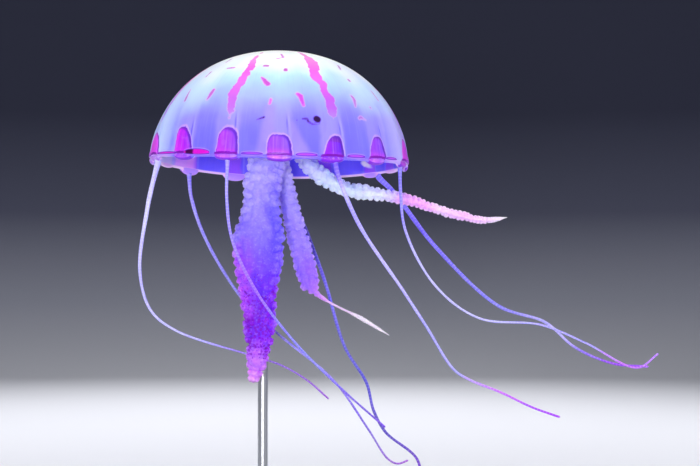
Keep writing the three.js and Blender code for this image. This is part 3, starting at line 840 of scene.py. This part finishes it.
def smooth_route(points, shares):
    """Places at shares of the length of the centripetal Catmull-Rom curve through points, unit tangents there
    and its length."""
    p = np.array(points, float)
    p = np.vstack([2 * p[0] - p[1], p, 2 * p[-1] - p[-2]])
    t = np.linspace(0, 1, 400, endpoint=False)[:, None]
    run = []
    for a, b, c, d in zip(p[:-3], p[1:-2], p[2:-1], p[3:]):
        ab, bc, cd = (np.linalg.norm(v) ** 0.5 for v in (b - a, c - b, d - c))
        m = ((b - a) / ab - (c - a) / (ab + bc) + (c - b) / bc) * bc
        n = ((c - b) / bc - (d - b) / (bc + cd) + (d - c) / cd) * bc
        curve = (2 * t**3 - 3 * t**2 + 1) * b + (t**3 - 2 * t**2 + t) * m + (3 * t**2 - 2 * t**3) * c
        run.append(curve + (t**3 - t**2) * n)
    run = np.vstack(run + [p[-2][None]])
    along = np.append(0, np.cumsum(np.linalg.norm(np.diff(run, axis=0), axis=1)))

    def place(share):
        return np.stack([np.interp(share * along[-1], along, run[:, i]) for i in range(3)], -1)

    step = 0.003
    tangent = place(np.clip(shares + step, 0, 1)) - place(np.clip(shares - step, 0, 1))
    return place(shares), tangent / np.linalg.norm(tangent, axis=-1, keepdims=True), along[-1]


def sections(points, shares):
    """Middle, wide axis, deep axis and tangent at each share, and the length. The deep axis is +Y made square to
    the tangent."""
    middle, tangent, length = smooth_route(points, shares)
    deep = np.array([0, 1.0, 0]) - tangent * tangent[:, 1:2]
    deep /= np.linalg.norm(deep, axis=1, keepdims=True)
    return middle, np.cross(deep, tangent), deep, tangent, length


# ---- oral arms ----


def billows(points, outward_way, centres, sizes):
    """How far each point must move along its outward way to lie on a ball of the heap: t + sqrt(R^2 - d^2), for
    a ball at t along the way and d from its line. Done in blocks of 20 rows, with the balls within 4 mm."""
    rows, columns = points.shape[:2]
    moved = np.zeros((rows, columns))
    for first in range(0, rows, 20):
        block = slice(first, min(first + 20, rows))
        p, way = points[block].reshape(-1, 3), outward_way[block].reshape(-1, 3)
        near = ((centres > p.min(0) - 4) & (centres < p.max(0) + 4)).all(1)
        to = centres[near][None] - p[:, None]
        along = np.einsum("ijk,ik->ij", to, way)
        inside = sizes[near] ** 2 - (to**2).sum(2) + along**2
        reach = np.where(inside > 0, along + np.sqrt(np.clip(inside, 0, None)), 0)
        moved[block] = reach.max(1, initial=0).reshape(block.stop - first, columns)
    return moved


def heap(points, outward_way, path, grown, rng, radius, pitch, front_sunk, side_sunk):
    """Balls in rows down an arm, about pitch x R apart. Those at its two side edges sit side_sunk x R deep and
    stand out as lobes; the rest sit front_sunk x R deep and overlap like cloud."""
    rows, columns = points.shape[:2]
    girth = np.linalg.norm(np.diff(points, axis=1, append=points[:, :1]), axis=2).sum(1)
    centres, sizes = [], []
    at = 0.5 * radius
    while at < path[-1]:
        row = int(np.searchsorted(path, at))
        size = radius * grown[row]
        count = 2 * max(2, int(round(girth[row] / (2 * pitch * size))))
        turns = np.arange(count) / count + 0.25
        edge = np.abs(np.sin(2 * np.pi * turns)) > 0.98
        turns = turns + np.where(edge, 0.1, 0.3) * rng.uniform(-1, 1, count) / count
        stand = np.abs(np.sin(2 * np.pi * turns)) ** 4
        lift = (0.5 - 0.38 * stand) * rng.uniform(-1, 1, count) * pitch * size
        here = np.clip(np.searchsorted(path, at + lift), 0, rows - 1), (turns * columns).astype(int) % columns
        sized = size * rng.uniform(0.75, 1.25, count) * (1 + 0.5 * (1 - stand) * grown[row] ** 2)
        sunk = (front_sunk + (side_sunk - front_sunk) * stand) * sized
        centres.append(points[here] - outward_way[here] * sunk[:, None])
        sizes.append(sized)
        at += pitch * size
    return np.vstack(centres), np.concatenate(sizes)


def outward_of(points):
    """Unit ways square to a closed tube's surface, from the differences along and round it."""
    along = np.gradient(points, axis=0)
    around = np.roll(points, -1, 1) - np.roll(points, 1, 1)
    way = np.cross(around, along)
    way /= np.linalg.norm(way, axis=2, keepdims=True) + 1e-9
    centre = points.mean(1, keepdims=True)
    return way * np.sign(((points - centre) * way).sum(2).mean())


def arm_body(arm, look, rng):
    """A billowed arm: the arm's ellipse, drawn in by pleats that run down it, then heaped twice over with round
    billows, large and small, that stand out as lobes along its side edges."""
    rows, columns = look["grid"]
    shares = np.linspace(0, 1, rows)
    middle, wide, deep, tangent, length = sections(arm["route"], shares)
    path = shares * length
    half = read_knots(arm["width"], shares)
    large, small = look["billow"]
    grown = np.clip(half / (2.3 * large), 0.08, 1) ** 0.9
    end = max(half[-1] * 1.6, 1.2)
    half = half * np.sqrt(np.clip(1 - np.clip((path - length + end) / end, 0, 0.998) ** 2, 0, 1))
    turn = turns_round(columns)
    bend = waves(rng, 0.5, (41, 23, 61))(path)[:, None]
    pleats, pleat_depth = look["pleats"]
    pleat = 0.6 * np.cos(pleats * turn + 2.2 * bend) + 0.4 * np.cos((pleats + 3) * turn - 3 * bend + 1)
    frilled = 0.25 + 0.75 * eased(half, 0.6, 1.8)  # thin ends are almost smooth
    inset = (0.78 * large + 0.3 * small) * grown * frilled
    across = np.maximum(half - inset, 0.3 * half)
    through = np.maximum(half * arm["depth"] - 0.5 * inset, 0.3 * half)
    swell = 1 + pleat_depth * pleat * np.abs(np.cos(turn))
    sideways, forwards = across[:, None] * swell * np.sin(turn), through[:, None] * swell * np.cos(turn)
    points = middle[:, None] + wide[:, None] * sideways[..., None] + deep[:, None] * forwards[..., None]
    way = outward_of(points)
    balls = heap(points, way, path, grown, rng, large, pitch=1.85, front_sunk=0.9, side_sunk=0.1)
    first = billows(points, way, *balls) * frilled[:, None]
    points = points + way * first[..., None]
    way = 0.6 * way + 0.4 * outward_of(points)
    way /= np.linalg.norm(way, axis=2, keepdims=True)
    balls = heap(points, way, path, grown, rng, small, pitch=1.6, front_sunk=0.88, side_sunk=0.66)
    second = billows(points, way, *balls) * frilled[:, None]
    points = points + way * second[..., None]
    side = ((points - middle[:, None]) @ np.array([1.0, 0, 0])) / half.max()
    raised = (first / large + 0.5 * second / small) / grown[:, None]
    fields = dict(along=shares[:, None], raised=raised, side=side, pleat=pleat)
    return outward(grid_shape(points, fields, (middle[0], middle[-1] + tangent[-1] * 0.1)))


def frilled_tissue(name, along, speckle, lip, crease, left=None, right=None):
    """Frilled mouth-arm tissue: soft wet membrane that lets light through, speckled with stinging-cell clusters.
    It is painted paler on its billows than in its creases, as highlight and shade."""
    look = Look(name, ("along", "raised", "side", "pleat"), cloud=(130, 3), fine=(900, 2))
    # Clusters 0.6 mm across, about 1.5 mm apart, densest where speckle says, within patches 8 mm wide.
    grains = {"Vector": "place", "Scale": 680, "Randomness": 1.0}
    look.made_of["spots"] = look.node("TexVoronoi", grains, feature="F1")
    look.work(f"""
        shifted = along UNEVEN cloud 0.16
        bias = side UNEVEN cloud 0.9
        here = shifted UNEVEN cloud 0.5, EASE {speckle}
        fades = along EASE 0.86 0.93 1 0.3
        here = here MULTIPLY fades
        spots = here SUBTRACT spots
        rough = cloud SHARE 0.3 0.7 0.45 0.6
    """)
    look.graded("middle", "shifted", along)
    look.graded("left", "shifted", left or along)
    look.graded("right", "shifted", right or along)
    # The raised and pleat coats are a painted highlight on the crests and a painted shade in the creases.
    look.painted("colour", "middle", f"""
        bias 0.05 -0.55 1 left
        bias 0 0.6 1 right
        raised 0.35 0 0.15 {crease}
        raised 0.35 1.1 0.16 {lip}
        pleat 0.2 0.9 0.03 {lip}
        fine 0.5 0.75 0.08 #FFFFFF
        spots -0.04 0.1 0.7 #7C0EB0
    """)
    return look.finished(("fine", 0.3, 0.0004), **tissue_values(0.08, 0.9, 0.007))


# Each arm: colours down its middle, left and right, speckle (share from, share to, 0, most), colours of the
# painted highlight on its crests and the painted shade in its creases. Then radii of its large and small
# billows, pleats round it and their depth, and the rows and columns of its grid.
ARM_LOOKS = {
    "oral_arm_front": dict(
        paint=dict(
            along="0 #C8BBFC, 0.08 #C0B5FC, 0.2 #B2A4FC, 0.3 #9E8CFC, 0.38 #8B76FA, 0.46 #7B56F8, 0.54 #7332EE,"
            "0.63 #6F17D6, 0.71 #7209C2, 0.8 #7419D6, 0.88 #A632EE, 0.95 #C068F4, 1 #D590F8",
            left="0 #C0B7FC, 0.2 #ACA0FA, 0.38 #8970F6, 0.44 #965EF4, 0.5 #A04CF0, 0.57 #A44CF0, 0.64 #A44AEC,"
            "0.71 #8016BE, 0.8 #7D22D6, 0.88 #AA4DF0, 1 #D796F8",
            right="0 #B4A4F8, 0.12 #9E8EF6, 0.2 #8474F4, 0.32 #7464F6, 0.42 #6A52F8, 0.52 #6834F6, 0.62 #7424E8,"
            "0.72 #8228E8, 0.8 #7C28F0, 0.88 #9A38F0, 0.95 #C068F6, 1 #DC90FA",
            speckle="0.4 0.8 0 0.5",
            lip="#CDBEFF",
            crease="#7A62F8",
        ),
        billow=(2.3, 0.9),
        pleats=(7, 0.04),
        grid=(420, 216),
    ),
    "oral_arm_right": dict(
        paint=dict(
            along="0 #B9B3FB, 0.1 #C4CCF9, 0.2 #CFDDFB, 0.3 #D8E8FB, 0.4 #D8DCFB, 0.47 #C9B0FB, 0.54 #F0A0F9,"
            "0.63 #E69EF9, 0.7 #E4BDFB, 0.79 #E1A6F5, 0.88 #E1B2F9, 1 #E4CFFB",
            left="0 #B9B3FB, 0.2 #CDDCFB, 0.4 #D0C6FB, 0.5 #D6A3F9, 0.65 #DF9BF5, 0.86 #E3AAF7, 1 #E4C4FB",
            speckle="0.9 1.6 0 0.3",
            lip="#ECF0FF",
            crease="#C8C0F8",
        ),
        billow=(2.15, 0.75),
        pleats=(4, 0.05),
        grid=(620, 132),
    ),
    "oral_arm_back": dict(
        paint=dict(
            # The first stops down its middle are painted lighter, as light, where the bell shades the top of the arm.
            along="0 #CCC0FF, 0.1 #BAAEFE, 0.2 #A898FC, 0.4 #967CFC, 0.53 #9264FA, 0.6 #9A68FA, 0.655 #B274FC,"
            "0.7 #E098FC, 0.78 #F4B4FE, 0.86 #FCE0FF, 1 #F8D8FF",
            left="0 #AA9CFC, 0.3 #A28EFC, 0.54 #986CFA, 0.62 #A874FC, 0.69 #E098FC, 0.8 #F8B8FE, 1 #F8D8FF",
            speckle="0.8 1.5 0 0.3",
            lip="#CDBEFF",
            crease="#9078F8",
        ),
        billow=(1.8, 0.8),
        pleats=(5, 0.05),
        grid=(520, 144),
    ),
    "oral_arm_left": dict(
        paint=dict(
            along="0 #AAA4FD, 0.4 #988DFD, 0.75 #8B5FFA, 1 #B972F8",
            left="0 #AAA4FD, 0.5 #9B76FD, 1 #BD7AF8",
            speckle="0.5 1 0 0.3",
            lip="#CDBEFF",
            crease="#7A62F8",
        ),
        billow=(2.4, 1.0),
        pleats=(6, 0.06),
        grid=(340, 150),
    ),
}

for number, (name, arm) in enumerate(ARMS.items()):
    shape = arm_body(arm, ARM_LOOKS[name], np.random.default_rng(100 + number))
    tissue = frilled_tissue(name.replace("oral_arm", "frilled_tissue"), **ARM_LOOKS[name]["paint"])
    piece(name, shape, tissue, [f"{name}_{length}" for length in LIMB_LENGTHS])


# ---- mouth stalk ----


def mouth_shape():
    """The four-cornered stalk: radius x (1 + 0.09 cos 4a), wide at the top and foot, with soft pleats that
    deepen towards the mouth."""
    rng = np.random.default_rng(21)
    rows, columns = 90, 240
    along = np.linspace(0, 1, rows)[:, None]  # 0 at the foot, 1 at the top
    turn = turns_round(columns)
    spread = MOUTH_WAIST + (MOUTH_FOOT - MOUTH_WAIST) * eased(1 - along, 0.6, 1)
    spread = spread + (MOUTH_TOP - MOUTH_WAIST) * eased(along, 0.55, 1)
    pleat = np.sin(20 * turn + waves(rng, 0.8, (0.9, 0.4))(along)) * eased(along, 0.7, 0.1)
    r = spread * (1 + 0.09 * np.cos(4 * turn)) + 0.55 * pleat - 0.6 * eased(along, 0.08, 0.0)
    x, y = MOUTH_X + r * np.sin(turn), MOUTH_Y - r * np.cos(turn)
    away = np.clip(np.hypot(x, y) / INNER_RADIUS, 0, 1)
    ceiling = FOLD_Z + INNER_HEIGHT * (1 - away**ROUNDNESS) ** (1 / CROWN) + 0.4
    z = MOUTH_FOOT_Z + (ceiling - MOUTH_FOOT_Z) * along
    fields = dict(along=1 - along, raised=0.6 + 0.4 * pleat, side=0.0, pleat=pleat)
    foot, top = [MOUTH_X, MOUTH_Y, MOUTH_FOOT_Z + 1.5], [MOUTH_X, MOUTH_Y, float(ceiling.min()) + 1]
    return outward(grid_shape(np.stack([x, y, z], -1), fields, (foot, top)))


stalk_stops = "0 #8E86FF, 0.5 #9A90FF, 1 #B8ADFF"
# The stalk's lip and crease colours are its painted highlight and painted shade.
stalk_tissue = frilled_tissue("mouth_stalk_tissue", stalk_stops, "1.2 2 0 0.2", lip="#C8BEFF", crease="#7A6EF4")
piece("mouth_stalk", mouth_shape(), stalk_tissue, ["manubrium"])


# ---- tentacles ----


def tentacle_shape(at, thick, thin, taper, route, rng):
    """A thread with a swollen root: radius thin + (thick - thin)(1 - share)^taper + flare e^(-distance / reach),
    beaded very slightly by its rings of stinging cells."""
    near = np.array([-2.0, 0, 2]) + at
    lowest = float((rim_height(near) - lappet_drop(near)).min())
    turn, out = math.radians(at), OUTER_RADIUS - ROOT_SUNK
    rows, columns = 620, 20
    shares = np.linspace(0, 1, rows)
    root = (out * math.sin(turn), -out * math.cos(turn), lowest - 0.4)
    middle, wide, deep, tangent, length = sections([root] + route, shares)
    path = shares * length
    radius = thin + (thick - thin) * (1 - shares) ** taper + PAD_FLARE * np.exp(-path / PAD_REACH)
    uneven = 0.04 * waves(rng, 1, (13, 29))(path) * eased(path, 4, 12)
    radius = radius * (1 + 0.015 * np.sin(2 * np.pi * path / RING_PITCH) + uneven)
    radius = radius * np.sqrt(np.clip((length - path) / 0.5, 0.05, 1))
    around = turns_round(columns)[..., None]
    ring = np.sin(around) * wide[:, None] + np.cos(around) * deep[:, None]
    points = middle[:, None] + ring * radius[:, None, None]
    points[:, :, 2] += 1.1 * np.exp(-path / 0.6)[:, None]
    fields = dict(along=shares[:, None], path=path[:, None])
    return outward(grid_shape(points, fields, (middle[0] + [0, 0, 1.3], middle[-1] + tangent[-1] * 0.15)))


def tentacle_thread(name, stops):
    """Tentacle: smooth wet muscular thread, lavender white, its end stained magenta. Rings of stinging cells
    1.7 mm apart are drawn just strong enough to show."""
    look = Look(name, ("along", "path"), cloud=(90, 2))
    look.work(f"""
        shifted = along UNEVEN cloud 0.1
        rings = path MULTIPLY {2 * math.pi / RING_PITCH}, SINE
        rough = cloud SHARE 0.3 0.7 0.3 0.45
    """)
    look.graded("colour", "shifted", stops)
    look.painted("colour", "colour", """
        rings 0.2 1 0.1 #FFFFFF
        cloud 0.5 0.7 0.15 #B8A4FF
    """)
    return look.finished(("rings", 0.06, 0.0002), **tissue_values(0.25, 0.7, 0.001))


# Colours down each tentacle, from its root.
TENTACLE_LOOKS = [
    "0 #BFBCFC, 0.15 #C6C4FC, 0.3 #B5B0FC, 0.5 #B7B3FC, 0.6 #A9A4F7, 0.7 #9A85E1, 0.8 #8D6DCD, 0.9 #9266C9,"
    "1 #9654C5",
    "0 #968BFC, 0.08 #9892FC, 0.2 #9280FC, 0.3 #9A6DFC, 0.4 #9C6CFC, 0.5 #887CF1, 0.6 #8C88FC, 0.7 #938FFC,"
    "0.8 #846DE9, 0.9 #8066D5, 1 #8457E1",
    "0 #7356ED, 0.035 #826CF5, 0.07 #B5AEFC, 0.14 #9C92FC, 0.3 #B8B0FC, 0.4 #B1AAFC, 0.5 #A39FFC, 0.68 #A6A0FC,"
    "0.75 #BC8CFC, 0.82 #C268F9, 0.9 #A856F1, 1 #A43AE8",
    "0 #7F76ED, 0.08 #9188F9, 0.14 #9B91FC, 0.2 #AFAAFC, 0.3 #B7B3FC, 0.5 #B8B5FC, 0.6 #A7A4FC, 0.8 #A398FC,"
    "0.87 #C072F9, 0.94 #AE68F5, 1 #B88CF9",
    "0 #8072F7, 0.14 #8472F5, 0.2 #7663F1, 0.3 #7E71ED, 0.5 #8781EF, 0.6 #928AE5, 0.7 #BCB7F9, 0.8 #8D76DD,"
    "0.9 #8F40D6, 1 #AC66F3",
    "0 #8273F9, 0.1 #7263E1, 0.2 #5E55C5, 0.27 #7E6FE9, 0.33 #8376EA, 0.5 #706CD1, 0.6 #6B66CD, 0.7 #5C53C9,"
    "0.8 #6255BD, 0.9 #6F4FC1, 1 #8149C5",
    "0 #9186F7, 0.3 #917EF7, 0.6 #8059F1, 1 #954AE5",
    "0 #978AF1, 0.08 #ADA4F7, 0.2 #A098E9, 0.3 #918BDD, 0.5 #7C72C5, 0.6 #9D92F1, 0.7 #A290ED, 0.8 #826AD9,"
    "0.9 #8B76CD, 1 #A560CD",
]
for number, (tentacle, stops) in enumerate(zip(TENTACLES, TENTACLE_LOOKS), 1):
    shape = tentacle_shape(*tentacle, np.random.default_rng(200 + number))
    nodes = [f"tentacle_{number}_{part}" for part in TENTACLE_NODES]
    thread = tentacle_thread(f"tentacle_thread_{number}", stops)
    piece(f"tentacle_{number}", shape, thread, nodes)


# ---- stand ----


def turned(profile, columns, centre=(0, 0), fillet=0.0):
    """A profile of (radius, height) pairs turned about an upright axis at centre. Each corner is replaced by an
    arc that starts and ends fillet from it."""
    p = np.array(profile, float)
    arcs = [p[:1]]
    for a, b, c in zip(p[:-2], p[1:-1], p[2:]):
        back, on = (a - b) / np.linalg.norm(a - b), (c - b) / np.linalg.norm(c - b)
        t = np.linspace(0, 1, 7)[:, None]
        arcs.append((1 - t) ** 2 * (b + back * fillet) + 2 * t * (1 - t) * b + t**2 * (b + on * fillet))
    p = np.vstack(arcs + [p[-1:]])
    counts = [max(2, int(np.linalg.norm(b - a) / 4) + 1) for a, b in zip(p[:-1], p[1:])]  # steps of 4 mm at most
    steps = [np.linspace(a, b, count, endpoint=False) for a, b, count in zip(p[:-1], p[1:], counts)]
    p = np.vstack(steps + [p[-1:]])[1:-1]
    turn = turns_round(columns)
    x, y = centre[0] + p[:, :1] * np.sin(turn), centre[1] - p[:, :1] * np.cos(turn)
    ends = ([*centre, profile[0][1]], [*centre, profile[-1][1]])
    return outward(grid_shape(np.stack([x, y, p[:, 1:] + 0 * turn], -1), {}, ends))


def powder_coat():
    """Charcoal powder coat on turned steel: a satin film with fine orange peel, 1.2 mm across."""
    look = Look("powder_coat_charcoal", peel=(830, 2), dust=(35, 4))
    look.work("rough = dust SHARE 0.3 0.7 0.45 0.6")
    look.painted("colour", "#24252B", """
        dust 0.4 0.75 0.5 #33343C
        peel 0.55 0.7 0.3 #3C3D46
    """)
    return look.finished(("peel", 0.35, 0.0002))


def brushed_steel():
    """Stainless steel rod brushed along its length: long fine lines, 0.3 mm apart, that spread the highlight."""
    look = Look("stainless_steel_brushed")
    drawn = look.node("Mapping", {"Vector": "place", "Scale": (3300, 3300, 25)})
    look.made_of["lines"] = look.node("TexNoise", {"Vector": drawn, "Scale": 1.0, "Detail": 3})
    look.work("rough = lines SHARE 0.3 0.7 0.24 0.4")
    look.painted("colour", "#C4C6CA", "lines 0.35 0.7 0.5 #9A9DA3")
    return look.finished(("lines", 0.15, 0.0001), Metallic=1.0)


base_low, base_high = (np.array(corner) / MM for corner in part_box("stand_base"))
rod_low, rod_high = (np.array(corner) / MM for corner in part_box("stand_rod"))
rod_at = (rod_low[:2] + rod_high[:2]) / 2
rod_radius, rod_top = (rod_high[0] - rod_low[0]) / 2, rod_high[2] + 2
base_radius, base_top = (base_high[0] - base_low[0]) / 2, base_high[2]
bevel, boss_radius, boss_top_radius = 1.5, 6.5, 5.2
edge_z, boss_foot, boss_shoulder, boss_top = base_top - bevel, base_top - 1, base_top + 2.2, base_top + 4

disc_profile = [(0, 0), (base_radius, 0), (base_radius, edge_z), (base_radius - bevel, base_top), (0, base_top)]
boss_profile = [(0, boss_foot), (boss_radius, boss_foot), (boss_radius, boss_shoulder)]
boss_profile += [(boss_top_radius, boss_top), (0, boss_top)]
rod_profile = [(0, base_top), (rod_radius, base_top), (rod_radius, rod_top), (0, rod_top)]
steel = brushed_steel()
piece("stand_disc", turned(disc_profile, 256, fillet=0.5), powder_coat(), ["stand_base"])
piece("stand_boss", turned(boss_profile, 96, rod_at, 0.4), steel, [])
piece("stand_upright", turned(rod_profile, 48, rod_at, 0.3), steel, ["stand_rod"])


# ---- floor, backdrop and light ----


def studio_paper():
    """Matt background paper: pale where it lies on the floor, graduated to slate up the wall."""
    look = Look("background_paper_graduated")
    look.made_of["height"] = look.node("SeparateXYZ", {0: "place"}, output=2)
    look.work("height = height SHARE 0 0.45")
    look.graded("colour", "height", "0 #D4D5DC, 0.25 #A9ABB8, 0.6 #5F6174, 1 #3E4052")
    return look.finished(Roughness=0.9, Specular_IOR_Level=0.1)


def backdrop_shape():
    """A round studio cove: flat to 1.75 m, a quarter circle of 0.45 m radius, then upright to 0.95 m."""
    t = np.linspace(0, np.pi / 2, 24)
    r = np.concatenate([np.linspace(60, 1700, 20), 1750 + 450 * np.sin(t), [2200]])[:, None]
    z = np.concatenate([np.zeros(20), 450 * (1 - np.cos(t)), [950]])[:, None]
    turn = turns_round(96)
    points = np.stack([r * np.sin(turn), -r * np.cos(turn), z + 0 * turn], -1)
    return grid_shape(points, {}, ([0, 0, 0], None))


meshed("studio_cove", backdrop_shape(), studio_paper())

# Softboxes: name, place, aim, size, power in watts, and how widely the light spreads in degrees.
SOFTBOXES = [
    ("key_overhead", (-0.3, -0.45, 1.0), (0, 0, 0.2), 0.8, 5.2, 180),
    ("fill_right", (0.9, -0.7, 0.6), (0, 0, 0.2), 0.8, 4.5, 180),
    ("fill_low", (-0.1, -1.1, 0.11), (0, 0, 0.15), 0.2, 1.7, 80),
    ("edge_left", (-0.85, 0.55, 0.5), (0, 0, 0.18), 0.5, 3.4, 180),
    ("edge_right", (0.95, 0.5, 0.5), (0, 0, 0.18), 0.5, 4.4, 180),
    ("floor_wash", (0, 1.1, 1.4), (0, 0.9, 0), 0.8, 4.0, 80),
]
for name, place, aim, size, power, spread in SOFTBOXES:
    lamp = bpy.data.lights.new(name, "AREA")
    lamp.shape = "DISK"
    lamp.size = size
    lamp.energy = power
    lamp.spread = math.radians(spread)
    lamp_object = bpy.data.objects.new(name, lamp)
    lamp_object.location = place
    lamp_object.visible_camera = False
    lamp_object.visible_glossy = not name.startswith("edge")  # so no white line runs down the flanks
    x, y, z = np.array(place) - np.array(aim)
    lamp_object.rotation_euler = (math.atan2(math.hypot(x, y), z), 0, math.atan2(x, -y))
    bpy.context.scene.collection.objects.link(lamp_object)

world = bpy.data.worlds.new("studio_air")
world.use_nodes = True
bpy.context.scene.world = world
world.node_tree.nodes["Background"].inputs["Color"].default_value = linear("#E6E8F0")
world.node_tree.nodes["Background"].inputs["Strength"].default_value = 0.35
bpy.context.scene.view_settings.view_transform = "Standard"
